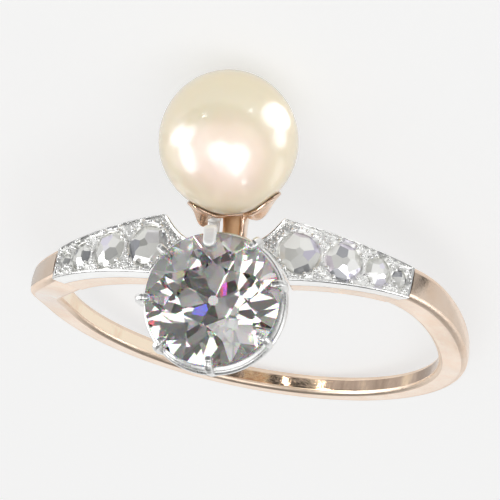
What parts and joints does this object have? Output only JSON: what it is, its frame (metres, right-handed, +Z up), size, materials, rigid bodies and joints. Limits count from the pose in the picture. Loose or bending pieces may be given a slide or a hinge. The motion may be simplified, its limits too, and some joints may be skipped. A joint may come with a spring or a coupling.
{
  "type": "cocktail ring",
  "caption": "Two-tone cocktail ring: a round pearl in a petal cup and a claw-set round diamond side by side, with tapering diamond-set shoulder plates on a plain hoop.",
  "frame": {"origin": "middle of the finger hole: on its axis, in the plane of the hoop at the palm side", "axes": "+Z up as the ring lies by itself on a table, on the pearl and the back of the hoop; -Y towards the head with the pearl and the diamond, which is raised; the side called left, seen on the head with the pearl at the top, is at +X"},
  "size_m": [0.0192, 0.024, 0.0125],
  "materials": {
    "rose_gold": "polished 18 carat rose gold, pale, with fine wear on the inside of the hoop",
    "platinum": "polished platinum",
    "pearl": "cream pearl with soft pink and green overtones and a high lustre",
    "diamond": "clear polished facets"
  },
  "bodies": {
    "root": {"shank": "rose_gold", "shoulder_plate_left": "platinum", "shoulder_plate_right": "platinum", "diamond_collet": "platinum", "pearl": "pearl", "diamond": "diamond", "rose_diamond_left_1": "diamond", "rose_diamond_left_2": "diamond", "rose_diamond_left_3": "diamond", "rose_diamond_left_4": "diamond", "rose_diamond_right_1": "diamond", "rose_diamond_right_2": "diamond", "rose_diamond_right_3": "diamond", "rose_diamond_right_4": "diamond"}
  },
  "joints": []
}
